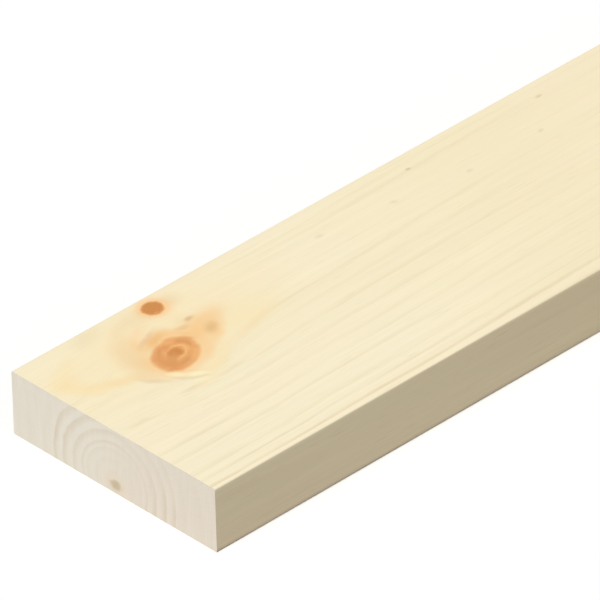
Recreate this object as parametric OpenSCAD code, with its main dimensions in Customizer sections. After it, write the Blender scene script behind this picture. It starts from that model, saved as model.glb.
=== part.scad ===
// Planed square-edge softwood plank: one piece of timber, sawn to length and planed on four sides.
// It lies flat, with its length along X, its width along Y and its thickness along Z.
// The origin is at the middle of the underside.

/* [Plank] */
// Length between the two sawn ends, in mm
plank_length = 1800; // [300:50:6000]
// Width across the broad planed faces, in mm
plank_width = 69; // [30:0.5:300]
// Thickness between the broad planed faces, in mm
plank_thickness = 18; // [8:0.5:75]

/* [Edges] */
// Radius that the planer leaves on the four long arrises, in mm
arris_radius = 0.5; // [0.1:0.1:3]

/* [Finish] */
// Colour of the freshly planed whitewood
wood_colour = "BlanchedAlmond"; // [BlanchedAlmond, Cornsilk, Wheat, NavajoWhite]

/* [Hidden] */
$fn = 48;

// Half spans from the middle of the section to the centres of the arris rounds
arris_centre_y = plank_width / 2 - arris_radius;
arris_centre_z = plank_thickness / 2 - arris_radius;

// Cross-section of the plank, centred: a rectangle with its four corners eased to the arris radius
module planed_section() {
    square([plank_width, 2 * arris_centre_z], center = true);
    square([2 * arris_centre_y, plank_thickness], center = true);
    for (side = [-1, 1], face = [-1, 1])
        translate([side * arris_centre_y, face * arris_centre_z])
            circle(r = arris_radius);
}

// The whole plank: the section run along X from one sawn end to the other
module plank() {
    color(wood_colour)
        translate([-plank_length / 2, 0, plank_thickness / 2])
            rotate([90, 0, 90])
                linear_extrude(height = plank_length)
                    planed_section();
}

plank();
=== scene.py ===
"""A planed whitewood plank, cut from a log that has a pith, annual rings and branches."""
import math
from collections import namedtuple
from itertools import groupby

import bpy
import numpy as np
from bpy.props import FloatProperty, FloatVectorProperty, PointerProperty
from mathutils import Matrix, Vector


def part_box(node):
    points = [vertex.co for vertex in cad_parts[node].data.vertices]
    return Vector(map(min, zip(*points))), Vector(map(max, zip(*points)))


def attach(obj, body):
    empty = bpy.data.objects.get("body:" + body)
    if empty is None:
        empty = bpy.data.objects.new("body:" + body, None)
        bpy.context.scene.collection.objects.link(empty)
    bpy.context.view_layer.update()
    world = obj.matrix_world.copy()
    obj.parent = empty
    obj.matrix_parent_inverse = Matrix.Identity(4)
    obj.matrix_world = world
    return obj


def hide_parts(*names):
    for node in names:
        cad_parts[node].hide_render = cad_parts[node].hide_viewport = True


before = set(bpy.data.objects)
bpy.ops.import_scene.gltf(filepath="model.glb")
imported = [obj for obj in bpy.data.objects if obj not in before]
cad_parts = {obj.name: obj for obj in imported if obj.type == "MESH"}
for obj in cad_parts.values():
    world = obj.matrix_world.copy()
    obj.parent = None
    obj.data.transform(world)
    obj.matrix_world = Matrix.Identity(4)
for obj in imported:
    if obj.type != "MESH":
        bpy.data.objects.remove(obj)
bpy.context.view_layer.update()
PLANK_LOW, PLANK_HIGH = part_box("plank")
PLANK_SIZE = PLANK_HIGH - PLANK_LOW

bl_info = {
    "name": "Planed whitewood plank",
    "version": (1, 0, 0),
    "blender": (4, 5, 0),
    "location": "View3D > Sidebar > Timber",
    "description": "Cuts a planed plank out of a grown log and lays it on a plain stage",
    "category": "Object",
}

# The log is described in millimetres: along from the near end, across from the back edge, and height.
MM = 0.001
BACK, UNDER = 0.0, 0.0
FRONT, TOP = PLANK_SIZE.y / MM, PLANK_SIZE.z / MM

# Stations of the pith, with the width of the rings there against the near end, and the wood's warmth
Station = namedtuple("Station", "along across height ring_scale warmth")
PITH_PATH = (
    Station(-40.0, 36.5, 2.4, 1.00, 0.0),
    Station(0.0, 34.6, 3.2, 1.00, 0.0),
    Station(24.0, 32.2, 5.2, 1.025, 0.0),
    Station(46.0, 29.8, 7.0, 1.06, 0.05),
    Station(70.0, 29.2, 7.05, 1.08, 0.1),
    Station(150.0, 27.2, 7.4, 1.09, 0.5),
    Station(430.0, 24.0, 8.0, 1.10, 0.3),
    Station(840.0, 31.0, 4.0, 1.12, 0.6),
    Station(1270.0, 40.0, 6.0, 1.10, 0.2),
    Station(1620.0, 36.0, 9.0, 1.06, 0.5),
    Station(1850.0, 33.0, 8.0, 1.05, 0.3),
)
# Each year's ring from the pith outwards: its width at the near end, and how strongly its line shows
Ring = namedtuple("Ring", "width strength")
RINGS = (
    Ring(3.5, 0.20), Ring(3.6, 0.20), Ring(2.6, 0.20), Ring(1.7, 0.65), Ring(3.0, 0.32), Ring(3.6, 0.22),
    Ring(3.1, 0.26), Ring(3.6, 0.30), Ring(5.7, 0.24), Ring(2.6, 0.42), Ring(3.0, 0.90), Ring(2.8, 0.70),
    Ring(2.8, 0.40), Ring(2.6, 0.60), Ring(2.7, 0.45), Ring(2.5, 0.50), Ring(2.6, 0.50),
)
# When in a year its dark line lies, and between which times its wood is hard, from 0 to 1
LINE_PHASE = 0.8
HARD_FROM, HARD_FULL, HARD_TO = 0.4, 0.9, 0.93
# The soft core sits below the middle of the rings and is wider than high.
CORE_OFFSET = (0.4, -0.75, 0.0)
CORE_SQUEEZE = (0.78, 1.12, 0.0)

# A branch that the saw cut through: where it comes out, on which face, its radius there, how much longer
# it is than wide, which way its longer axis turns, and how evenly dark it is
Knot = namedtuple("Knot", "along across height face radius longer turn even")
NEAR_KNOTS = (
    Knot(31.75, 22.55, TOP, "top", 5.4, 1.37, -28.0, 0.0),
    Knot(40.9, 4.85, TOP, "top", 2.78, 1.07, -10.0, 1.0),
)
FURTHER_KNOTS = (
    Knot(428.0, 47.0, TOP, "top", 5.2, 1.15, 12.0, 0.45),
    Knot(437.0, FRONT, 9.5, "front", 4.0, 1.20, -8.0, 1.0),
    Knot(422.0, 11.0, UNDER, "under", 4.2, 1.10, 20.0, 0.6),
    Knot(838.0, 17.0, TOP, "top", 4.4, 1.20, -15.0, 1.0),
    Knot(847.0, 52.0, UNDER, "under", 5.6, 1.12, 8.0, 0.4),
    Knot(832.0, BACK, 8.5, "back", 3.6, 1.25, 5.0, 1.0),
    Knot(1266.0, 31.0, TOP, "top", 7.0, 1.14, 25.0, 0.3),
    Knot(1281.0, 59.0, TOP, "top", 2.5, 1.05, 0.0, 1.0),
    Knot(1274.0, FRONT, 8.0, "front", 4.8, 1.18, 10.0, 0.65),
    Knot(1260.0, 18.0, UNDER, "under", 3.2, 1.10, 0.0, 1.0),
    Knot(1616.0, 55.0, TOP, "top", 3.6, 1.20, -20.0, 1.0),
    Knot(1627.0, 27.0, UNDER, "under", 6.2, 1.15, -12.0, 0.35),
    Knot(1609.0, BACK, 10.0, "back", 4.4, 1.16, 6.0, 0.7),
)
KNOTS = NEAR_KNOTS + FURTHER_KNOTS
# Where a knot's heart lies from the middle of its outline, and how far its collar reaches, in knot radii
HEART_OFFSET = (0.10, -0.08, 0.0)
KNOT_COLLAR = 1.75
# A branch's radius at the pith against its radius where it comes out, and the least and most it may have
ROOT_SHARE = 0.35
TAPER_LIMITS = (0.2, 1.3)

# Where the grain parts round a knot, as a pointed eye on one face, and how far resin has stained it
Eye = namedtuple("Eye", "along across height face half_length half_width stain")
EYES = (
    Eye(33.0, 20.0, TOP, "top", 18.5, 10.5, 0.0),
    Eye(41.2, 4.6, TOP, "top", 9.0, 4.4, 0.0),
) + tuple(
    Eye(knot.along, knot.across, knot.height, knot.face, 3.2 * knot.radius, 1.6 * knot.radius, 0.55)
    for knot in FURTHER_KNOTS
)
# Plain wood on the upper face, where no ring shows: round the near knots, in the back corner and beyond
CALM_EYES = (
    Eye(36.0, 12.8, TOP, "top", 34.0, 19.0, 0.0),
    Eye(0.0, 0.0, TOP, "top", 24.0, 13.0, 0.0),
    Eye(125.0, 14.5, TOP, "top", 120.0, 6.5, 0.0),
)
EYE_POWER = 1.4
# An eye's inside fades out between these two reaches from its middle.
EYE_FADE_FROM, EYE_FADE_TO = 0.8, 1.25

# A soft mark on the upper face: its place, which way its length turns, half its sizes, strength and colour
Mark = namedtuple("Mark", "along across turn half_length half_width strength colour")
MARKS = (
    Mark(32.0, 14.0, 0.0, 34.0, 16.0, 0.62, "hazy_wood"),
    Mark(54.0, 22.5, -8.0, 11.0, 4.5, 0.50, "hazy_wood"),
    Mark(125.0, 62.0, -1.5, 32.0, 5.5, 0.40, "warm_wood"),
    Mark(165.0, 12.0, -1.0, 60.0, 11.0, 0.45, "warm_wood"),
    Mark(100.0, 28.5, -1.8, 45.0, 0.9, 0.14, "shaded_wood"),
    Mark(122.0, 6.3, -1.2, 42.0, 0.8, 0.20, "shaded_wood"),
    Mark(53.0, 26.4, -15.0, 10.0, 1.1, 0.30, "tan_wood"),
    Mark(4.8, 13.4, 0.0, 4.0, 3.8, 0.50, "flame_wood"),
    Mark(6.6, 17.4, 52.0, 5.0, 2.6, 0.45, "flame_wood"),
    Mark(13.0, 21.2, 17.0, 7.5, 2.2, 0.50, "flame_wood"),
    Mark(8.6, 9.6, -35.0, 5.0, 2.4, 0.30, "flame_wood"),
    Mark(22.4, 17.0, 100.0, 7.5, 3.6, 0.70, "tan_wood"),
    Mark(26.6, 8.6, -58.0, 5.5, 2.6, 0.40, "tan_wood"),
    Mark(41.0, 4.9, 20.0, 4.4, 4.2, 0.85, "knot_rim"),
    Mark(20.4, 24.6, 55.0, 4.5, 1.8, 0.50, "tan_wood"),
    Mark(25.6, 15.6, 100.0, 5.2, 2.4, 0.50, "tan_wood"),
    Mark(27.4, 13.9, 115.0, 3.4, 1.5, 0.55, "stained_wood"),
    Mark(22.6, 20.8, 100.0, 3.8, 2.2, 0.70, "tan_wood"),
    Mark(14.5, 21.6, 28.0, 5.5, 1.6, 0.28, "tan_wood"),
    Mark(41.8, 12.9, -10.0, 3.2, 2.0, 0.25, "tan_wood"),
    Mark(34.8, 32.4, -15.0, 5.0, 2.4, 0.55, "flame_wood"),
    Mark(40.6, 28.8, -25.0, 4.5, 2.4, 0.40, "flame_wood"),
    Mark(29.5, 36.2, 0.0, 4.5, 1.6, 0.30, "flame_wood"),
    Mark(34.0, 5.2, 0.0, 5.0, 3.6, 0.20, "brown_wood"),
    Mark(46.2, 5.0, 0.0, 3.0, 2.6, 0.22, "brown_wood"),
    Mark(21.5, 3.0, -12.0, 5.0, 2.6, 0.26, "shaded_wood"),
    Mark(20.6, 27.2, 50.0, 4.2, 0.9, 0.50, "shaded_wood"),
    Mark(24.6, 22.0, 100.0, 4.4, 1.8, 0.60, "stained_wood"),
    Mark(36.6, 15.6, 20.0, 3.6, 1.8, 0.80, "stained_wood"),
    Mark(32.0, 15.0, -24.0, 4.6, 2.3, 0.95, "horn_wood"),
    Mark(39.3, 19.0, 60.0, 2.8, 1.4, 0.80, "horn_wood"),
    Mark(34.2, 16.7, -24.0, 2.6, 1.0, 0.80, "knot_rim"),
    Mark(31.0, 13.2, -28.0, 4.4, 0.9, 0.45, "bruised_wood"),
    Mark(30.5, 10.6, -30.0, 4.2, 2.0, 0.35, "knot_rim"),
    Mark(41.4, 19.2, -40.0, 5.4, 4.0, 0.95, "stained_wood"),
    Mark(46.6, 17.4, -25.0, 5.2, 3.4, 0.75, "stained_wood"),
    Mark(50.5, 16.6, -20.0, 4.6, 2.4, 0.20, "stained_wood"),
    Mark(39.0, 25.0, -62.0, 4.6, 2.2, 0.55, "stained_wood"),
    Mark(35.5, 28.4, -22.0, 4.0, 1.6, 0.35, "stained_wood"),
    Mark(44.9, 22.8, -38.0, 5.4, 1.8, 0.72, "stained_wood"),
    Mark(28.6, 29.6, 35.0, 4.2, 1.2, 0.35, "stained_wood"),
    Mark(45.2, 20.4, -42.0, 2.7, 1.6, 0.70, "brown_wood"),
    Mark(43.9, 14.3, -12.0, 1.9, 0.9, 0.40, "brown_wood"),
    Mark(43.7, 14.2, -12.0, 1.2, 0.7, 0.30, "fleck"),
    Mark(40.4, 15.8, 10.0, 1.8, 0.8, 0.45, "brown_wood"),
    Mark(6.4, 37.2, 6.0, 3.6, 0.6, 0.32, "shaded_wood"),
    Mark(11.0, 50.2, 0.0, 8.0, 0.7, 0.20, "shaded_wood"),
    Mark(106.0, 65.7, -1.7, 26.0, 0.7, 0.30, "shaded_wood"),
    Mark(26.2, 31.2, 45.0, 2.8, 0.8, 0.45, "shaded_wood"),
    Mark(29.2, 33.4, 35.0, 2.4, 0.6, 0.40, "shaded_wood"),
    Mark(24.6, 35.6, 8.0, 3.6, 0.8, 0.40, "shaded_wood"),
    Mark(36.2, 36.4, 0.0, 4.0, 0.8, 0.30, "shaded_wood"),
    Mark(25.8, 28.9, 45.0, 2.2, 0.8, 0.80, "pale_sliver"),
    Mark(29.6, 31.9, 35.0, 2.8, 0.9, 0.85, "pale_sliver"),
    Mark(28.6, 34.5, 20.0, 2.2, 0.6, 0.60, "pale_sliver"),
    Mark(124.2, 5.9, 0.0, 0.8, 0.45, 0.42, "fleck"),
    Mark(168.6, 5.9, 0.0, 1.0, 0.50, 0.34, "fleck"),
    Mark(134.3, 16.9, 0.0, 0.9, 0.60, 0.16, "fleck"),
    Mark(158.2, 16.9, 0.0, 0.9, 0.60, 0.20, "fleck"),
    Mark(89.3, 11.3, 0.0, 1.2, 0.60, 0.18, "fleck"),
    Mark(112.1, 13.4, 0.0, 1.2, 0.60, 0.15, "fleck"),
)
# Marks in the large near knot itself: its heart's tail and darker side, and patches of its body
KNOT_MARKS = (
    Mark(29.7, 23.9, 135.0, 2.4, 1.1, 0.80, "knot_dark"),
    Mark(32.6, 22.9, 45.0, 1.2, 0.9, 0.50, "knot_heart"),
    Mark(35.0, 25.7, -40.0, 2.6, 1.3, 0.65, "knot_light"),
    Mark(34.3, 17.9, -15.0, 1.9, 1.0, 0.75, "knot_light"),
    Mark(27.4, 24.2, 50.0, 1.8, 0.9, 0.50, "knot_dark"),
    Mark(27.3, 21.8, 115.0, 3.4, 1.5, 0.60, "knot_red"),
    Mark(29.3, 22.9, 110.0, 1.5, 0.9, 0.70, "knot_red"),
    Mark(36.4, 18.8, 35.0, 3.0, 1.0, 0.50, "knot_dark"),
    Mark(35.6, 22.6, 70.0, 2.6, 0.8, 0.55, "knot_light"),
    Mark(28.9, 24.0, -50.0, 2.8, 2.2, 0.80, "knot_dark"),
    Mark(34.6, 22.2, 75.0, 2.0, 0.9, 0.50, "knot_light"),
)
MARK_DEPTH = 4.0
# A mark's colour reaches this many times its half sizes, and is full only in this share of that reach.
MARK_REACH, MARK_CORE = 1.6, 0.0625

FACE_NORMAL = {"top": 2, "under": 2, "front": 1, "back": 1}
FACE_LATERAL = {"top": 1, "under": 1, "front": 2, "back": 2}


def eased(share):
    """A share from 0 to 1 that starts and stops gently."""
    share = np.clip(share, 0.0, 1.0)
    return share * share * (3.0 - 2.0 * share)


def pith_at(along):
    """Across, height, ring scale and warmth of the pith's stations at each distance along the plank."""
    stations = np.array(PITH_PATH)
    step = np.clip(np.searchsorted(stations[:, 0], along, side="right") - 1, 0, len(stations) - 2)
    before, after = stations[step], stations[step + 1]
    share = eased((along - before[..., 0]) / (after[..., 0] - before[..., 0]))
    return np.moveaxis(before + (after - before) * share[..., None], -1, 0)[1:]


def nearness(points, face):
    """How near each point is to a face: 1 on it and 0 on the opposite one."""
    normal = FACE_NORMAL[face]
    share = points[:, normal] / (0.0, FRONT, TOP)[normal]
    return eased(share if face in ("top", "front") else 1.0 - share)


def eye_reach(points, eye):
    """Distance beside an eye's middle, in mm, and the reach from it: 1 on the eye's rim."""
    lateral = FACE_LATERAL[eye.face]
    ahead = (points[:, 0] - eye.along) / eye.half_length
    aside = points[:, lateral] - eye[lateral]
    wide = np.abs(aside / eye.half_width)
    return aside, (np.abs(ahead) ** EYE_POWER + wide ** EYE_POWER) ** (1.0 / EYE_POWER)


def parted_grain(points):
    """Points put back where their fibres would run if no branch had pushed them aside."""
    straight = points.copy()
    for eye in EYES:
        aside, reach = eye_reach(points, eye)
        kept = np.sqrt(0.1 + 0.9 * np.clip(1.0 - 1.0 / (reach ** 2 + 0.02), 0.0, 1.0))
        straight[:, FACE_LATERAL[eye.face]] -= aside * (1.0 - kept) * nearness(points, eye.face)
    return straight


def most_inside(points, eyes):
    """How far inside any of the eyes each point lies, from 0 to 1."""
    most = np.zeros(len(points))
    for eye in eyes:
        _, reach = eye_reach(points, eye)
        inside = eased((EYE_FADE_TO - reach) / (EYE_FADE_TO - EYE_FADE_FROM))
        most = np.maximum(most, inside * nearness(points, eye.face))
    return most


def ring_age(points, straight):
    """Years of growth at each point, and its offset across and up from the pith."""
    pith_across, pith_height, scale, _ = pith_at(points[:, 0])
    offset = np.stack([straight[:, 1] - pith_across, straight[:, 2] - pith_height], -1)
    edges = np.concatenate([[0.0], np.cumsum([ring.width for ring in RINGS])])
    radius = np.hypot(offset[:, 0], offset[:, 1])
    return np.interp(radius / scale, edges, np.arange(len(edges))), offset


def ring_show(points, age, offset, outward):
    """How strongly the rings show: by the year, by how squarely a face cuts them, and not inside an eye."""
    by_year = np.interp(age, np.arange(len(RINGS)) + LINE_PHASE, [ring.strength for ring in RINGS])
    radius = np.maximum(np.hypot(offset[:, 0], offset[:, 1]), 0.5)
    square = np.abs(offset[:, 0] * outward[:, 1] - offset[:, 1] * outward[:, 0]) / radius
    on_face = np.clip(1.5 * square, 0.12, 1.0) * (1.0 - 0.5 * np.abs(outward[:, 0]))
    return by_year * on_face * (1.0 - most_inside(points, EYES + CALM_EYES))


def knot_root(knot):
    """Where a branch leaves the pith, a little nearer the near end than where it comes out."""
    along = np.array([knot.along - 0.6 * knot.radius])
    across, height, _, _ = pith_at(along)
    return np.array([along[0], across[0], height[0]])


def knot_plane(points):
    """Each point's place in the nearest knot's section, in knot radii, and how much of that knot shows."""
    plane = np.full((len(points), 3), 9.0)
    shows = np.zeros(len(points))
    for knot in KNOTS:
        normal, lateral = FACE_NORMAL[knot.face], FACE_LATERAL[knot.face]
        mouth, root = np.array(knot[:3]), knot_root(knot)
        share = (points[:, normal] - root[normal]) / (mouth[normal] - root[normal])
        middle = root + share[:, None] * (mouth - root)
        radius = knot.radius * np.clip(ROOT_SHARE + (1.0 - ROOT_SHARE) * share, *TAPER_LIMITS)
        ahead = (points[:, 0] - middle[:, 0]) / radius
        aside = (points[:, lateral] - middle[:, lateral]) / radius
        turn = math.radians(knot.turn)
        lengthwise = (ahead * math.cos(turn) + aside * math.sin(turn)) / knot.longer
        crosswise = aside * math.cos(turn) - ahead * math.sin(turn)
        reach = np.hypot(lengthwise, crosswise)
        nearer = (share > 0.0) & (reach < np.hypot(plane[:, 0], plane[:, 1]))
        plane[nearer] = np.stack([lengthwise, crosswise, np.full(len(points), knot.even)], -1)[nearer]
        shows = np.maximum(shows, eased((KNOT_COLLAR - reach) / 0.3) * eased(share / 0.1))
    return plane, shows


def stain_at(points):
    """Strength of the resin stain round the further knots."""
    total = np.zeros(len(points))
    for eye in EYES:
        _, reach = eye_reach(points, eye)
        total = np.maximum(total, eye.stain * np.exp(-(reach ** 2)) * nearness(points, eye.face))
    return total


def grow_fields(points, outward):
    """What the finish needs to know about the wood at each point, by name."""
    straight = parted_grain(points)
    age, offset = ring_age(points, straight)
    plane, shows = knot_plane(points)
    return {
        "place": points,
        "fibre": straight,
        "age": age,
        "ring_show": ring_show(points, age, offset, outward),
        "from_pith": np.concatenate([offset, points[:, :1]], 1),
        "knot_plane": plane,
        "knot_shows": shows,
        "stain": stain_at(points),
        "warmth": pith_at(points[:, 0])[3],
    }


class Bench:
    """Adds shader nodes to one material and joins them up."""

    def __init__(self, name):
        self.material = bpy.data.materials.new(name)
        self.material.use_nodes = True
        self.tree = self.material.node_tree
        self.tree.nodes.clear()
        self.made = 0

    def add(self, kind, **settings):
        node = self.tree.nodes.new(kind)
        node.location = (220 * (self.made % 12), -260 * (self.made // 12))
        self.made += 1
        for name, value in settings.items():
            setattr(node, name, value)
        return node

    def plug(self, socket, value):
        if isinstance(value, bpy.types.NodeSocket):
            self.tree.links.new(value, socket)
        else:
            socket.default_value = value

    def field(self, name, output):
        return self.add("ShaderNodeAttribute", attribute_name=name).outputs[output]

    def math(self, operation, first, second=0.0):
        node = self.add("ShaderNodeMath", operation=operation)
        self.plug(node.inputs[0], first)
        self.plug(node.inputs[1], second)
        return node.outputs[0]

    def remap(self, value, low, high, start=0.0, end=1.0, way="SMOOTHSTEP"):
        node = self.add("ShaderNodeMapRange", interpolation_type=way)
        for socket, given in zip(node.inputs, (value, low, high, start, end)):
            self.plug(socket, given)
        return node.outputs[0]

    def vector(self, operation, first, second=(0.0, 0.0, 0.0), output=0):
        node = self.add("ShaderNodeVectorMath", operation=operation)
        self.plug(node.inputs[0], first)
        self.plug(node.inputs[1], second)
        return node.outputs[output]

    def scaled(self, vector, factor):
        node = self.add("ShaderNodeVectorMath", operation="SCALE")
        self.plug(node.inputs[0], vector)
        self.plug(node.inputs["Scale"], factor)
        return node.outputs[0]

    def shaded(self, colour, light):
        """A colour made lighter or darker all over."""
        node = self.add("ShaderNodeHueSaturation")
        self.plug(node.inputs["Color"], colour)
        self.plug(node.inputs["Value"], light)
        return node.outputs[0]

    def noise(self, place, stretch, detail=2.0, roughness=0.5, output="Fac"):
        node = self.add("ShaderNodeTexNoise")
        self.plug(node.inputs["Vector"], self.vector("MULTIPLY", place, stretch))
        node.inputs["Scale"].default_value = 1.0
        node.inputs["Detail"].default_value = detail
        node.inputs["Roughness"].default_value = roughness
        return node.outputs[output]

    def sway(self, place, stretch, amount):
        """A number that wanders to either side of nothing."""
        return self.remap(self.noise(place, stretch, 3.0), 0.2, 0.8, -amount, amount, "LINEAR")

    def wander(self, place, stretch, amount):
        """The same places moved about a little, so that what is drawn there has no ruled edge."""
        shift = self.vector("SUBTRACT", self.noise(place, stretch, 3.0, output="Color"), (0.5, 0.5, 0.5))
        return self.vector("ADD", place, self.scaled(shift, amount))

    def mix(self, share, first, second):
        node = self.add("ShaderNodeMix", data_type="RGBA")
        self.plug(node.inputs[0], share)
        self.plug(node.inputs[6], first)
        self.plug(node.inputs[7], second)
        return node.outputs[2]

    def ramp(self, value, stops):
        node = self.add("ShaderNodeValToRGB")
        elements = node.color_ramp.elements
        while len(elements) < len(stops):
            elements.new(0.5)
        for element, (place, colour) in zip(elements, stops):
            element.position = place
            element.color = colour
        self.plug(node.inputs[0], value)
        return node.outputs[0]

    def flat(self, vector):
        """The first two numbers of a vector as a flat one, and all three apart."""
        parts = self.add("ShaderNodeSeparateXYZ")
        self.plug(parts.inputs[0], vector)
        joined = self.add("ShaderNodeCombineXYZ")
        self.plug(joined.inputs[0], parts.outputs[0])
        self.plug(joined.inputs[1], parts.outputs[1])
        return joined.outputs[0], parts.outputs

    def finish(self, colour, roughness, height, depth, specular):
        """The wood's shader, with a bump of some depth in metres."""
        bump = self.add("ShaderNodeBump")
        bump.inputs["Strength"].default_value = 0.4
        bump.inputs["Distance"].default_value = depth
        self.plug(bump.inputs["Height"], height)
        shader = self.add("ShaderNodeBsdfPrincipled")
        self.plug(shader.inputs["Base Color"], colour)
        self.plug(shader.inputs["Roughness"], roughness)
        self.plug(shader.inputs["Normal"], bump.outputs[0])
        shader.inputs["Specular IOR Level"].default_value = specular
        output = self.add("ShaderNodeOutputMaterial")
        self.tree.links.new(shader.outputs[0], output.inputs["Surface"])
        return self.material


def tint(red, green, blue):
    """A colour as the eye names it, from 0 to 255, turned into Blender's linear numbers."""
    shares = [c / 255.0 for c in (red, green, blue)]
    return tuple(s / 12.92 if s <= 0.04045 else ((s + 0.055) / 1.055) ** 2.4 for s in shares)


def solid(colour):
    """A setting's colour with nothing see-through about it."""
    return tuple(colour) + (1.0,)


def late_wood(bench, fibre, sway, start, crest, breaks):
    """Dark summer wood late in each year, between a start and a crest, in lines that sway.

    Where the lines break: how often across the grain, and how faint and how bold they get.
    """
    often, faint, bold = breaks
    years = bench.math("ADD", bench.field("age", "Fac"), bench.sway(fibre, (0.012, 0.11, 0.11), sway))
    years = bench.math("ADD", years, bench.sway(fibre, (0.10, 0.45, 0.45), 0.4 * sway))
    phase = bench.math("FRACT", years)
    line = bench.math("MULTIPLY", bench.remap(phase, start, crest), bench.remap(phase, 1.0, crest))
    broken = bench.noise(fibre, (0.045, often, often), detail=4.0, roughness=0.65)
    return bench.math("MULTIPLY", line, bench.remap(broken, 0.3, 0.7, faint, bold, "LINEAR"))


def plain_wood(bench, fibre, late, settings):
    """Colour of the clear wood: rings, warm drifts, streaks and fine fibres."""
    colour = bench.mix(late, solid(settings.spring_wood), solid(settings.summer_wood))
    drift = bench.sway(fibre, (0.006, 0.045, 0.045), 0.35)
    warmth = bench.math("ADD", bench.field("warmth", "Fac"), drift)
    colour = bench.mix(bench.math("MAXIMUM", warmth, 0.0), colour, solid(settings.warm_wood))
    rosy = bench.noise(bench.vector("ADD", fibre, (700.0, 31.0, 17.0)), (0.009, 0.12, 0.12), detail=3.0)
    colour = bench.mix(bench.remap(rosy, 0.45, 0.70, 0.0, 0.55), colour, solid(settings.rosy_wood))
    light = bench.math("ADD", bench.sway(fibre, (0.014, 0.6, 0.6), 0.026), 1.0)
    light = bench.math("ADD", light, bench.sway(fibre, (0.06, 3.0, 3.0), 0.032))
    colour = bench.shaded(colour, light)
    ducts = bench.noise(fibre, (0.12, 2.2, 2.2), detail=1.0)
    return bench.mix(bench.remap(ducts, 0.66, 0.76, 0.0, 0.22), colour, solid(settings.summer_wood))


def soft_mark(bench, place, mark):
    """How much of the wood stays bare under a mark: least in its middle and all of it past its rim."""
    mapping = bench.add("ShaderNodeMapping", vector_type="TEXTURE")
    bench.plug(mapping.inputs["Vector"], place)
    mapping.inputs["Location"].default_value = (mark.along, mark.across, TOP)
    mapping.inputs["Rotation"].default_value = (0.0, 0.0, math.radians(mark.turn))
    mapping.inputs["Scale"].default_value = [
        MARK_REACH * size for size in (mark.half_length, mark.half_width, MARK_DEPTH)]
    ball = bench.add("ShaderNodeTexGradient", gradient_type="SPHERICAL")
    bench.plug(ball.inputs["Vector"], mapping.outputs[0])
    return bench.remap(ball.outputs["Fac"], 0.0, 1.0 - MARK_CORE, 1.0, 1.0 - mark.strength)


def marked_wood(bench, colour, place, marks, settings):
    """A colour with soft marks laid over it, one after another, and neighbours of one colour together."""
    for name, group in groupby(marks, key=lambda mark: mark.colour):
        bare, *others = [soft_mark(bench, place, mark) for mark in group]
        for other in others:
            bare = bench.math("MULTIPLY", bare, other)
        colour = bench.mix(bare, solid(getattr(settings, name)), colour)
    return colour


def knot_wood(bench, plane, settings):
    """Colours of the knots, and the reach from their middles: 1 on their edge."""
    flat, parts = bench.flat(bench.wander(plane, (1.2, 1.2, 3.0), 0.40))
    reach = bench.vector("LENGTH", flat, output=1)
    # The heart lies off the middle, and the rings round it even out towards the edge.
    inward = bench.remap(reach, 0.0, 1.0, 1.0, 0.0, "LINEAR")
    from_heart = bench.vector("SUBTRACT", flat, bench.scaled(HEART_OFFSET, inward))
    rings = bench.vector("LENGTH", from_heart, output=1)
    heart, dark, body, light = (
        solid(c) for c in (settings.knot_heart, settings.knot_dark, settings.knot_body, settings.knot_light))
    grown = bench.ramp(rings, (
        (0.00, heart), (0.20, heart), (0.33, dark), (0.41, light), (0.45, light), (0.54, body), (0.70, dark),
        (0.84, body)))
    small = bench.ramp(rings, ((0.00, heart), (0.70, heart), (0.95, dark)))
    colour = bench.mix(parts[2], grown, small)
    red = bench.remap(bench.noise(plane, (1.1, 1.1, 4.0)), 0.50, 0.68, 0.0, 0.8)
    red = bench.math("MULTIPLY", red, bench.remap(rings, 0.3, 0.5))
    colour = bench.mix(red, colour, solid(settings.knot_red))
    mottle = bench.sway(plane, (3.2, 3.2, 5.0), 0.05)
    return bench.shaded(colour, bench.math("ADD", mottle, 1.0)), reach


def planed_finish(settings):
    """Planed side grain: clear wood, stains, marks and knots."""
    bench = Bench("planed_whitewood")
    fibre = bench.field("fibre", "Vector")
    plane = bench.field("knot_plane", "Vector")
    shows = bench.field("knot_shows", "Fac")
    late = late_wood(bench, fibre, 0.12, 0.50, 0.92, (0.6, 0.2, 1.45))
    late = bench.math("MULTIPLY", late, bench.field("ring_show", "Fac"))
    colour = plain_wood(bench, fibre, bench.math("MULTIPLY", late, 0.75), settings)

    patchy = bench.remap(bench.noise(fibre, (0.10, 0.35, 0.35), detail=3.0), 0.3, 0.7, 0.6, 1.1)
    resin = bench.field("stain", "Fac")
    colour = bench.mix(bench.math("MULTIPLY", resin, patchy), colour, solid(settings.stained_wood))
    wood, reach = knot_wood(bench, plane, settings)
    rim = bench.math("MULTIPLY", bench.remap(reach, KNOT_COLLAR, 0.95, 0.0, 0.9), shows)
    rim = bench.math("MULTIPLY", rim, bench.remap(resin, 0.0, 0.45, 1.0, 0.5))
    colour = bench.mix(rim, colour, solid(settings.knot_rim))
    marked = bench.wander(bench.field("place", "Vector"), (0.25, 0.25, 0.25), 1.6)
    colour = marked_wood(bench, colour, marked, MARKS, settings)
    knots = bench.math("MULTIPLY", bench.remap(reach, 1.12, 0.86), shows)
    colour = bench.mix(knots, colour, wood)
    colour = marked_wood(bench, colour, marked, KNOT_MARKS, settings)

    smooth = bench.math("ADD", bench.math("MULTIPLY", knots, 0.16), bench.math("MULTIPLY", late, 0.1))
    fine = bench.noise(fibre, (0.05, 3.4, 3.4), detail=3.0, roughness=0.6)
    grain = bench.math("ADD", bench.math("MULTIPLY", fine, 0.6), bench.math("MULTIPLY", late, 0.5))
    return bench.finish(colour, bench.math("SUBTRACT", 0.62, smooth), grain, 0.04 * MM, 0.35)


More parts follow.
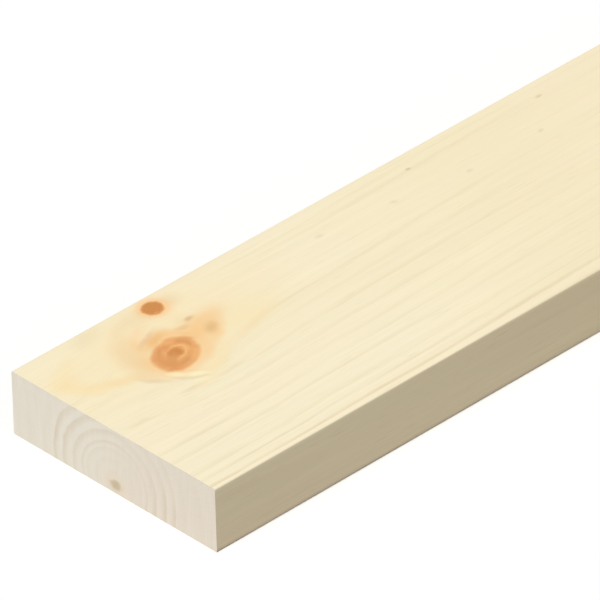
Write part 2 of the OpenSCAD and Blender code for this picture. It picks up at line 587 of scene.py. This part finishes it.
def sawn_finish(settings):
    """Sawn end grain: rings seen end on, rays, pores, saw marks and the pith."""
    bench = Bench("sawn_end_grain")
    from_pith = bench.field("from_pith", "Vector")
    flat, parts = bench.flat(from_pith)
    radius = bench.vector("LENGTH", flat, output=1)
    age = bench.field("age", "Fac")
    angle = bench.math("ARCTAN2", parts[1], parts[0])
    # The inmost and the outer rings are faint, and so are all of them on the upper front side.
    strong = bench.remap(age, 2.6, 3.4, 0.12, 0.38)
    for low, high, start, end in ((4.9, 5.6, 1.0, 1.35), (7.4, 6.7, 0.2, 1.0)):
        strong = bench.math("MULTIPLY", strong, bench.remap(age, low, high, start, end))
    aside = bench.math("ABSOLUTE", bench.math("SUBTRACT", angle, 1.0))
    strong = bench.math("MULTIPLY", strong, bench.remap(aside, 0.2, 0.8, 0.4, 1.0))
    patch = bench.noise(from_pith, (0.09, 0.09, 0.0))
    strong = bench.math("MULTIPLY", strong, bench.remap(patch, 0.35, 0.65, 0.65, 1.0))
    late = late_wood(bench, bench.field("fibre", "Vector"), 0.10, 0.20, 0.82, (0.1, 0.6, 1.2))
    late = bench.math("MULTIPLY", late, strong)
    warmer = bench.remap(parts[0], -12.0, 12.0)
    colour = bench.mix(warmer, solid(settings.end_spring), solid(settings.end_warm))
    colour = bench.mix(late, colour, solid(settings.end_summer))

    polar = bench.add("ShaderNodeCombineXYZ")
    bench.plug(polar.inputs[0], radius)
    bench.plug(polar.inputs[1], angle)
    rays = bench.sway(polar.outputs[0], (0.12, 38.0, 0.0), 0.016)
    pores = bench.noise(from_pith, (3.6, 3.6, 0.0), detail=3.0, roughness=0.65)
    saw = bench.noise(from_pith, (0.9, 0.04, 0.0), detail=4.0, roughness=0.65)
    light = bench.math("ADD", rays, bench.remap(pores, 0.2, 0.8, 0.975, 1.025, "LINEAR"))
    light = bench.math("ADD", light, bench.remap(saw, 0.25, 0.75, -0.03, 0.03, "LINEAR"))
    # Where the rings are bold, the wood between them is a little paler too.
    light = bench.math("ADD", light, bench.math("MULTIPLY", strong, 0.05))
    colour = bench.shaded(colour, light)

    core = bench.vector("MULTIPLY", bench.vector("SUBTRACT", flat, CORE_OFFSET), CORE_SQUEEZE)
    core = bench.vector("LENGTH", core, output=1)
    ragged = bench.math("ADD", core, bench.sway(from_pith, (0.6, 0.6, 0.0), 0.5))
    colour = bench.mix(bench.remap(ragged, 4.6, 1.2, 0.0, 0.25), colour, solid(settings.pith_halo))
    colour = bench.mix(bench.remap(ragged, 2.1, 0.7), colour, solid(settings.pith))
    height = bench.math("ADD", bench.math("MULTIPLY", pores, 0.6), bench.math("MULTIPLY", saw, 0.9))
    return bench.finish(colour, 0.8, height, 0.08 * MM, 0.2)


def colour_prop(name, description, red, green, blue):
    """A colour of the wood that a user may change."""
    return FloatVectorProperty(
        name=name, description=description, subtype="COLOR", size=3, min=0.0, max=1.0,
        default=tint(red, green, blue))


def length_prop(name, description, default):
    """A length in metres that a user may change."""
    return FloatProperty(
        name=name, description=description, default=default, min=0.0, unit="LENGTH", precision=5)


def angle_prop(name, description, degrees):
    """An angle that a user may change."""
    return FloatProperty(name=name, description=description, default=math.radians(degrees), subtype="ANGLE")


class PlankSettings(bpy.types.PropertyGroup):
    """Sizes and colours of the plank."""
    length: length_prop("Length", "Between the two sawn ends", PLANK_SIZE.x)
    width: length_prop("Width", "Across the broad faces", PLANK_SIZE.y)
    thickness: length_prop("Thickness", "Between the broad faces", PLANK_SIZE.z)
    arris: length_prop("Arris radius", "Ease that the planer leaves on the long edges", 0.5 * MM)
    ring_relief: length_prop("Ring relief", "How far the soft spring wood sinks under the planer", 0.04 * MM)
    saw_relief: length_prop("Saw relief", "Depth of the marks that the saw leaves on the ends", 0.05 * MM)
    spring_wood: colour_prop("Spring wood", "Pale wood of the early year", 246, 235, 203)
    summer_wood: colour_prop("Summer wood", "Darker line that ends the year", 219, 199, 154)
    warm_wood: colour_prop("Warm wood", "Yellower drifts along the plank", 242, 227, 188)
    rosy_wood: colour_prop("Rosy wood", "Pinker drifts along the plank", 248, 233, 203)
    hazy_wood: colour_prop("Hazy wood", "Warm haze far round a knot", 248, 228, 180)
    flame_wood: colour_prop("Flame", "Yellow tongue beside a knot", 248, 223, 168)
    tan_wood: colour_prop("Tan wood", "Brownish haze beside a knot", 241, 210, 160)
    stained_wood: colour_prop("Stained wood", "Resin round a knot", 246, 203, 144)
    shaded_wood: colour_prop("Shaded wood", "Crowded dark rings beside a knot", 224, 204, 162)
    pale_sliver: colour_prop("Pale sliver", "Bright slivers between crowded rings", 253, 240, 190)
    horn_wood: colour_prop("Horn wood", "Darker resin against a knot", 239, 190, 126)
    brown_wood: colour_prop("Brown wood", "Small bruise beside a knot", 222, 180, 120)
    bruised_wood: colour_prop("Bruised wood", "Duller line round the resin", 224, 184, 138)
    fleck: colour_prop("Fleck", "Small dark flecks", 176, 152, 112)
    knot_rim: colour_prop("Knot rim", "Bright collar of a knot", 250, 202, 145)
    knot_heart: colour_prop("Knot heart", "Dark middle of a knot", 204, 135, 67)
    knot_dark: colour_prop("Knot dark rings", "Darker rings of a knot", 217, 151, 86)
    knot_body: colour_prop("Knot body", "Most of a knot", 228, 166, 102)
    knot_light: colour_prop("Knot light ring", "Pale ring round a knot's heart", 243, 180, 114)
    knot_red: colour_prop("Knot red", "Redder patches of a knot", 225, 152, 92)
    end_spring: colour_prop("End spring wood", "Spring wood seen end on", 237, 232, 219)
    end_warm: colour_prop("End warm wood", "Warmer spring wood seen end on", 237, 229, 215)
    end_summer: colour_prop("End summer wood", "Summer wood seen end on", 214, 200, 178)
    pith: colour_prop("Pith", "Soft core of the tree", 210, 197, 169)
    pith_halo: colour_prop("Pith halo", "Wood next to the pith", 244, 220, 186)


class StageSettings(bpy.types.PropertyGroup):
    """Light and camera."""
    sky: FloatProperty(name="Sky", description="Even light from all round", default=0.30, min=0.0)
    lamp: FloatProperty(name="Lamp", description="Strength of the soft lamp", default=2.92, min=0.0)
    lamp_angle: angle_prop("Lamp angle", "How broad the lamp looks from the plank", 35.0)
    bounce: FloatVectorProperty(
        name="Bounce", description="Light that the floor gives back", subtype="COLOR", size=3,
        min=0.0, max=1.0, default=(0.30, 0.25, 0.195))
    lens: FloatProperty(name="Lens", description="Focal length", default=693.8, min=1.0, unit="CAMERA")
    azimuth: angle_prop("Azimuth", "Camera's bearing", -43.13)
    elevation: angle_prop("Elevation", "Camera's height", 34.22)
    roll: angle_prop("Roll", "Camera's tilt", -1.58)
    distance: length_prop("Distance", "From the camera to its aim", 2.726)
    aim_along: length_prop("Aim along", "From the near end", 67.5 * MM)
    aim_across: length_prop("Aim across", "From the back edge", 27.4 * MM)


# Cells across the width and up the thickness of the section
SECTION_CELLS = (78, 20)
# Where the skin is cut for its flat map: the near stretch is drawn larger than the two further ones
NEAR_STRETCH = 210.0
# How far apart the cuts across the plank are, in mm: at the near end, at the further knots, at the far end
# and at most. The first grows slowly past the fine stretch, and the next two faster with distance.
NEAR_PITCH, KNOT_PITCH, FAR_PITCH, MOST_PITCH = 0.8, 1.6, 1.0, 20.0
FINE_STRETCH, SLOW_GROWTH, FAST_GROWTH = 75.0, 0.02, 0.25
SAMPLES_PER_MM = 4.0


def stretch_cuts(length):
    """Where the plank's skin is cut into stretches."""
    return np.array([0.0, NEAR_STRETCH, (NEAR_STRETCH + length) / 2.0, length])


def graded_rows(length):
    """Cuts across the plank, close together where the grain turns and wide apart where it runs straight."""
    along = np.linspace(0.0, length, int(length * SAMPLES_PER_MM) + 1)
    pitch = NEAR_PITCH + SLOW_GROWTH * np.maximum(along - FINE_STRETCH, 0.0)
    for knot in FURTHER_KNOTS:
        beyond = np.maximum(np.abs(along - knot.along) - 2.0 * knot.radius, 0.0)
        pitch = np.minimum(pitch, KNOT_PITCH + FAST_GROWTH * beyond)
    pitch = np.minimum(pitch, MOST_PITCH)
    pitch = np.minimum(pitch, FAR_PITCH + FAST_GROWTH * (length - along))
    count = np.concatenate([[0.0], np.cumsum(np.diff(along) / pitch[1:])])
    rows = np.interp(np.linspace(0.0, count[-1], int(round(count[-1])) + 1), count, along)
    for cut in stretch_cuts(length):
        rows[np.argmin(np.abs(rows - cut))] = cut
    return rows


def section_lines(size, cells, arris):
    """Grid lines from one side of the section to the other, with a spare one where each arris turns."""
    lead = np.array([0.0, 0.5 * arris])
    return np.concatenate([lead, np.linspace(arris, size - arris, cells + 1), size - lead[::-1]])


def section_grid(width, thickness, arris):
    """Across and height of the section's grid, with its four corners drawn in to the arris radius."""
    across, height = np.meshgrid(
        section_lines(width, SECTION_CELLS[0], arris),
        section_lines(thickness, SECTION_CELLS[1], arris), indexing="ij")
    for angle, column, row in ((0.0, 2, 0), (22.5, 1, 0), (45.0, 0, 0), (67.5, 0, 1), (90.0, 0, 2)):
        in_across = arris * (1.0 - math.sin(math.radians(angle)))
        in_height = arris * (1.0 - math.cos(math.radians(angle)))
        for front in (False, True):
            for top in (False, True):
                at = (-1 - column if front else column, -1 - row if top else row)
                across[at] = width - in_across if front else in_across
                height[at] = thickness - in_height if top else in_height
    return across, height


def outline_of(count_across, count_height):
    """Grid places round the section: along the underside, up the front, back over the top and down."""
    last_across, last_height = count_across - 1, count_height - 1
    under = [(i, 0) for i in range(last_across)]
    front = [(last_across, j) for j in range(last_height)]
    top = [(i, last_height) for i in range(last_across, 0, -1)]
    back = [(0, j) for j in range(last_height, 0, -1)]
    return under + front + top + back


def around_cell(grid, order):
    """The four corners of each cell of a grid, in a given order round it."""
    corners = (grid[:-1, :-1], grid[1:, :-1], grid[1:, 1:], grid[:-1, 1:])
    return np.stack([corners[i] for i in order], -1).reshape(-1, 4)


FORWARD, BACKWARD = (0, 1, 2, 3), (0, 3, 2, 1)


def saw_depth(points):
    """How deep the saw's marks are on the ends, from 0 to 1."""
    across, height = points[:, 1], points[:, 2]
    sweep = across + 0.06 * height
    fine = 0.3 * np.sin(1.9 * sweep) * np.sin(0.31 * sweep + 1.0)
    return 0.5 + fine + 0.2 * np.sin(0.83 * sweep + 0.1 * height)


class Skin:
    """The plank's skin in millimetres: a sleeve of rows round the section, closed by a grid on each end."""

    def __init__(self, length, width, thickness, arris):
        self.length = length
        self.rows = graded_rows(length)
        self.across, self.height = section_grid(width, thickness, arris)
        outline = outline_of(*self.across.shape)
        ring = np.array([[self.across[at], self.height[at]] for at in outline])
        inner = np.clip(ring, arris, np.array([width, thickness]) - arris)
        self.columns = len(outline)
        self.sleeve_points = len(self.rows) * self.columns
        self.girth = np.concatenate([[0.0], np.cumsum(np.hypot(*(np.roll(ring, -1, 0) - ring).T))])

        sleeve = np.empty((len(self.rows), self.columns, 3))
        sleeve[..., 0] = self.rows[:, None]
        sleeve[..., 1:] = ring[None]
        inside = np.stack([self.across[1:-1, 1:-1].ravel(), self.height[1:-1, 1:-1].ravel()], -1)
        near_cap = np.column_stack([np.zeros(len(inside)), inside])
        far_cap = np.column_stack([np.full(len(inside), length), inside])
        self.points = np.concatenate([sleeve.reshape(-1, 3), near_cap, far_cap])
        self.outward = np.zeros((len(self.points), 2))
        self.outward[: self.sleeve_points] = np.tile((ring - inner) / arris, (len(self.rows), 1))

        numbers = np.arange(self.sleeve_points).reshape(len(self.rows), self.columns)
        wrapped = np.concatenate([numbers, numbers[:, :1]], 1)
        self.ends = [self.end_numbers(outline, numbers[0], self.sleeve_points),
                     self.end_numbers(outline, numbers[-1], self.sleeve_points + len(inside))]
        self.faces = np.concatenate([
            around_cell(wrapped, FORWARD),
            around_cell(self.ends[0], FORWARD),
            around_cell(self.ends[1], BACKWARD),
        ])
        self.sleeve_faces = wrapped[1:, 1:].size

    def end_numbers(self, outline, rim, first_inside):
        """Point numbers of an end's grid: the sleeve's own rim, and new points inside it."""
        numbers = np.empty(self.across.shape, int)
        for number, at in zip(rim, outline):
            numbers[at] = number
        inside = numbers[1:-1, 1:-1]
        inside[:] = first_inside + np.arange(inside.size).reshape(inside.shape)
        return numbers

    def shaped(self, fields, ring_relief, saw_relief):
        """The points with the spring wood sunk under the planer and the saw's marks cut into the ends."""
        moved = self.points.copy()
        phase = fields["age"] % 1.0
        hardening = eased((phase - HARD_FROM) / (HARD_FULL - HARD_FROM))
        hard = hardening * (1.0 - eased((phase - HARD_TO) / (1.0 - HARD_TO)))
        sink = ring_relief * (1.0 - hard) * np.minimum(1.5 * fields["ring_show"], 1.0)
        moved[:, 1:] -= self.outward * sink[:, None]
        for end, inward in zip(self.ends, (1.0, -1.0)):
            moved[end.ravel(), 0] += inward * saw_relief * saw_depth(self.points[end.ravel()])
        return moved

    def sharp_rims(self, edges):
        """Which edges run round the rim of an end."""
        on_rim = np.zeros(len(self.points), bool)
        on_rim[: self.columns] = True
        on_rim[self.sleeve_points - self.columns: self.sleeve_points] = True
        same_end = np.abs(edges[:, 0] - edges[:, 1]) < self.columns
        return on_rim[edges].all(1) & same_end

    def flat_map(self):
        """Each face corner's place on a unit square, with the near stretch and the ends drawn larger."""
        margin, pixel = 8.0, 1.0 / 1024.0
        near_scale, far_scale, end_scale = 3.2, 1.25, 4.5
        starts = stretch_cuts(self.length)[:-1]
        scales = np.array([near_scale, far_scale, far_scale])
        heights = scales * self.girth[-1] + margin
        floors = margin + np.concatenate([[0.0], np.cumsum(heights)[:-1]])
        middle = 0.5 * (self.rows[:-1] + self.rows[1:])
        stretch = np.searchsorted(starts, middle, side="right") - 1

        along = np.stack([self.rows[:-1], self.rows[1:], self.rows[1:], self.rows[:-1]], -1)
        round_it = np.stack([self.girth[:-1], self.girth[:-1], self.girth[1:], self.girth[1:]], -1)
        sleeve = np.empty((len(middle), self.columns, 4, 2))
        sleeve[..., 0] = (margin + (along - starts[stretch, None]) * scales[stretch, None])[:, None]
        sleeve[..., 1] = floors[stretch, None, None] + round_it[None] * scales[stretch, None, None]
        charts = [sleeve.reshape(-1, 2)]
        left = 2.0 * margin + near_scale * NEAR_STRETCH
        for number, order in enumerate((FORWARD, BACKWARD)):
            floor = margin + number * (end_scale * self.height.max() + margin)
            sideways = around_cell(self.across, order) * end_scale + left
            upward = around_cell(self.height, order) * end_scale + floor
            charts.append(np.stack([sideways, upward], -1).reshape(-1, 2))
        return np.concatenate(charts) * pixel


def plank_mesh(settings):
    """The plank's skin as one closed mesh, with the fields of the wood stored on its points."""
    sizes = (settings.length, settings.width, settings.thickness, settings.arris)
    skin = Skin(*(size / MM for size in sizes))
    fields = grow_fields(skin.points, skin.outward)
    moved = skin.shaped(fields, settings.ring_relief / MM, settings.saw_relief / MM)
    corner = Vector((PLANK_LOW.x, PLANK_HIGH.y, PLANK_LOW.z))
    places = np.array(corner) + moved * np.array([MM, -MM, MM])

    mesh = bpy.data.meshes.new("planed_plank")
    mesh.from_pydata(places.tolist(), [], skin.faces.tolist())
    for name, values in fields.items():
        single = values.ndim == 1
        layer = mesh.attributes.new(name, "FLOAT" if single else "FLOAT_VECTOR", "POINT")
        layer.data.foreach_set("value" if single else "vector", values.astype(np.float32).ravel())
    edges = np.empty(2 * len(mesh.edges), np.int32)
    mesh.edges.foreach_get("vertices", edges)
    mesh.edges.foreach_set("use_edge_sharp", skin.sharp_rims(edges.reshape(-1, 2)))
    mesh.polygons.foreach_set("use_smooth", np.ones(len(skin.faces), bool))
    on_end = np.arange(len(skin.faces)) >= skin.sleeve_faces
    mesh.polygons.foreach_set("material_index", on_end.astype(np.int32))
    mesh.uv_layers.new(name="OFBake").uv.foreach_set("vector", skin.flat_map().astype(np.float32).ravel())
    mesh.update()
    return mesh


class MESH_OT_cut_planed_plank(bpy.types.Operator):
    """Cut the planed plank out of the log and put it where the solid plank lies"""
    bl_idname = "mesh.cut_planed_plank"
    bl_label = "Cut planed plank"

    def execute(self, context):
        settings = context.scene.planed_plank
        if 2.0 * settings.arris >= min(settings.width, settings.thickness):
            raise ValueError("the arris radius is too large for the plank's section")
        mesh = plank_mesh(settings)
        mesh.materials.append(planed_finish(settings))
        mesh.materials.append(sawn_finish(settings))
        piece = bpy.data.objects.new("planed_plank", mesh)
        context.scene.collection.objects.link(piece)
        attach(piece, "root")
        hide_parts("plank")
        return {"FINISHED"}


def seen_directly(tree):
    """A socket that is 1 on what the camera sees, straight or by gloss or glass, and 0 on other light."""
    path = tree.nodes.new("ShaderNodeLightPath")
    seen = path.outputs["Is Camera Ray"]
    for kind in ("Is Glossy Ray", "Is Transmission Ray"):
        either = tree.nodes.new("ShaderNodeMath")
        either.operation = "MAXIMUM"
        tree.links.new(seen, either.inputs[0])
        tree.links.new(path.outputs[kind], either.inputs[1])
        seen = either.outputs[0]
    return seen


def pale_paper(bounce):
    """Plain paper that looks white to the camera and gives back only a little light."""
    bench = Bench("pale_floor")
    paper = bench.add("ShaderNodeBsdfDiffuse")
    white = (1.0, 1.0, 1.0, 1.0)
    bench.plug(paper.inputs["Color"], bench.mix(seen_directly(bench.tree), solid(bounce), white))
    output = bench.add("ShaderNodeOutputMaterial")
    bench.tree.links.new(paper.outputs[0], output.inputs["Surface"])
    return bench.material


def lay_floor(settings):
    """A wide pale floor under the plank."""
    half = 40.0
    mesh = bpy.data.meshes.new("floor")
    corners = [(x * half, y * half, PLANK_LOW.z) for x, y in ((-1, -1), (1, -1), (1, 1), (-1, 1))]
    mesh.from_pydata(corners, [], [(0, 1, 2, 3)])
    mesh.materials.append(pale_paper(settings.bounce))
    floor = bpy.data.objects.new("floor", mesh)
    bpy.context.scene.collection.objects.link(floor)


# Which way the lamp's light travels
LAMP_DIRECTION = (0.535, 0.155, -0.65)


def light_stage(settings):
    """Even sky that shows white, and one broad lamp from the left."""
    world = bpy.data.worlds.new("white_room")
    bpy.context.scene.world = world
    world.use_nodes = True
    tree = world.node_tree
    level = tree.nodes.new("ShaderNodeMapRange")
    tree.links.new(seen_directly(tree), level.inputs["Value"])
    level.inputs["To Min"].default_value = settings.sky
    level.inputs["To Max"].default_value = 1.0
    tree.links.new(level.outputs[0], tree.nodes["Background"].inputs["Strength"])
    tree.nodes["Background"].inputs["Color"].default_value = (1.0, 1.0, 1.0, 1.0)

    sun = bpy.data.lights.new("soft_lamp", "SUN")
    sun.energy = settings.lamp
    sun.angle = settings.lamp_angle
    lamp = bpy.data.objects.new("soft_lamp", sun)
    lamp.rotation_mode = "QUATERNION"
    lamp.rotation_quaternion = Vector(LAMP_DIRECTION).to_track_quat("-Z", "Y")
    bpy.context.scene.collection.objects.link(lamp)


def place_camera(settings):
    """A long lens, far off, looking down on the plank's near end."""
    lens = bpy.data.cameras.new("camera")
    lens.lens = settings.lens
    lens.sensor_width = 36.0
    lens.clip_end = 100.0
    camera = bpy.data.objects.new("camera", lens)
    aim = Vector((PLANK_LOW.x + settings.aim_along, PLANK_HIGH.y - settings.aim_across, PLANK_HIGH.z))
    level = math.cos(settings.elevation)
    back = Vector((
        math.sin(settings.azimuth) * level,
        -math.cos(settings.azimuth) * level,
        math.sin(settings.elevation),
    ))
    turn = (-back).to_track_quat("-Z", "Y").to_matrix().to_4x4() @ Matrix.Rotation(settings.roll, 4, "Z")
    camera.matrix_world = Matrix.Translation(aim + back * settings.distance) @ turn
    bpy.context.scene.collection.objects.link(camera)
    bpy.context.scene.camera = camera


class SCENE_OT_set_plank_stage(bpy.types.Operator):
    """Lay the floor, hang the light and place the camera"""
    bl_idname = "scene.set_plank_stage"
    bl_label = "Set plank stage"

    def execute(self, context):
        settings = context.scene.plank_stage
        if settings.distance <= 0.0:
            raise ValueError("the camera needs some distance from its aim")
        context.scene.view_settings.view_transform = "Standard"
        lay_floor(settings)
        light_stage(settings)
        place_camera(settings)
        return {"FINISHED"}


class VIEW3D_PT_planed_plank(bpy.types.Panel):
    """Sidebar panel of the plank"""
    bl_idname = "VIEW3D_PT_planed_plank"
    bl_label = "Planed plank"
    bl_space_type = "VIEW_3D"
    bl_region_type = "UI"
    bl_category = "Timber"

    def draw(self, context):
        for group, operator in ((context.scene.planed_plank, "mesh.cut_planed_plank"),
                                (context.scene.plank_stage, "scene.set_plank_stage")):
            box = self.layout.box()
            for name in group.__annotations__:
                box.prop(group, name)
            box.operator(operator)


CLASSES = (
    PlankSettings,
    StageSettings,
    MESH_OT_cut_planed_plank,
    SCENE_OT_set_plank_stage,
    VIEW3D_PT_planed_plank,
)


def register():
    for cls in CLASSES:
        bpy.utils.register_class(cls)
    bpy.types.Scene.planed_plank = PointerProperty(type=PlankSettings)
    bpy.types.Scene.plank_stage = PointerProperty(type=StageSettings)


def unregister():
    del bpy.types.Scene.plank_stage
    del bpy.types.Scene.planed_plank
    for cls in reversed(CLASSES):
        bpy.utils.unregister_class(cls)


def main():
    register()
    bpy.ops.mesh.cut_planed_plank()
    bpy.ops.scene.set_plank_stage()


if __name__ == "__main__":
    main()
